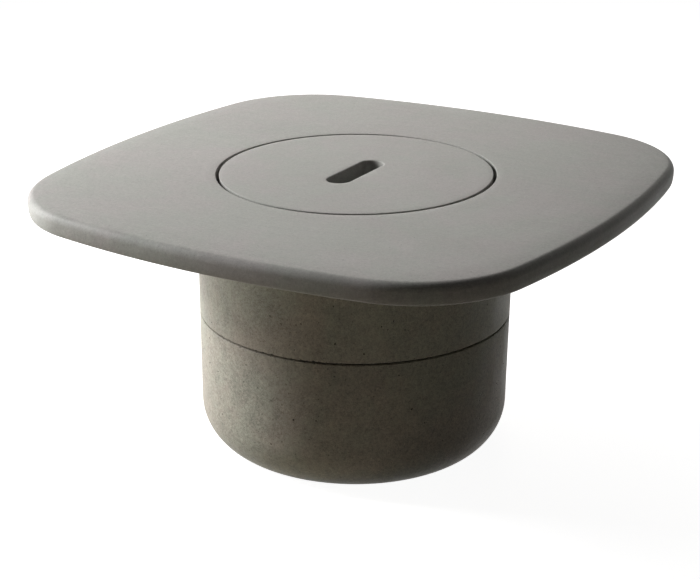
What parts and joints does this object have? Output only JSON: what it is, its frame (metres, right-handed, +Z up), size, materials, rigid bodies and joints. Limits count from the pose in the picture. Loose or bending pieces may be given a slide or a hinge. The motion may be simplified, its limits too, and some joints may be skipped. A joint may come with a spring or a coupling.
{
  "type": "ice bucket coffee table",
  "caption": "Low square concrete coffee table with soft corners on a round two-part drum; a loose round lid with a finger slot covers a lift-out steel ice bucket.",
  "frame": {"origin": "on the floor under the middle of the table", "axes": "X and Y along the sides of the square top, the lid's finger slot along Y, +Z up"},
  "size_m": [0.8, 0.8, 0.408],
  "materials": {
    "concrete_top": "fine trowelled cast concrete, matt",
    "concrete_lid": "fine trowelled cast concrete with circular trowel marks, matt",
    "concrete_drum": "cast concrete with small air holes, matt",
    "bucket_steel": "spun stainless steel, satin",
    "wire_steel": "polished stainless wire",
    "bracket_steel": "pressed stainless steel",
    "drain_steel": "turned stainless steel",
    "fastener_steel": "stainless screws",
    "insert_brass": "turned brass",
    "gasket_rubber": "black closed-cell gasket",
    "seal_rubber": "black moulded rubber",
    "pad_rubber": "dark grey rubber pads",
    "stopper_rubber": "black rubber bung"
  },
  "bodies": {
    "table": {"table_top": "concrete_top", "top_inserts": "insert_brass", "top_bolts": "fastener_steel", "top_washers": "fastener_steel", "upper_drum": "concrete_drum", "seam_gasket": "gasket_rubber", "locating_dowels": "fastener_steel", "lower_drum": "concrete_drum", "drum_bolts": "fastener_steel", "drum_washers": "fastener_steel", "drum_nuts": "fastener_steel", "base_pads": "pad_rubber"},
    "ice_bucket": {"ice_bucket": "bucket_steel", "bucket_seal": "seal_rubber", "handle_brackets": "bracket_steel", "bracket_rivets": "fastener_steel", "drain_body": "drain_steel", "drain_seal": "seal_rubber", "drain_nut": "drain_steel"},
    "lid": {"lid": "concrete_lid", "lid_pads": "pad_rubber"},
    "handle_right": {"bucket_handle_right": "wire_steel"},
    "handle_left": {"bucket_handle_left": "wire_steel"},
    "drain_stopper": {"drain_stopper": "stopper_rubber"}
  },
  "joints": [
    {"name": "bucket_lift", "type": "slide", "parent": "table", "child": "ice_bucket", "axis": [0, 0, 1], "range_m": [0, 0.34]},
    {"name": "lid_lift", "type": "slide", "parent": "ice_bucket", "child": "lid", "axis": [0, 0, 1], "range_m": [0, 0.15]},
    {"name": "handle_right_swing", "type": "hinge", "parent": "ice_bucket", "child": "handle_right", "pos_m": [0.15, 0, 0.351], "axis": [0, 1, 0], "range_deg": [0, 90]},
    {"name": "handle_left_swing", "type": "hinge", "parent": "ice_bucket", "child": "handle_left", "pos_m": [-0.15, 0, 0.351], "axis": [0, -1, 0], "range_deg": [0, 90]},
    {"name": "stopper_pull", "type": "slide", "parent": "ice_bucket", "child": "drain_stopper", "axis": [0, 0, 1], "range_m": [0, 0.06]}
  ]
}
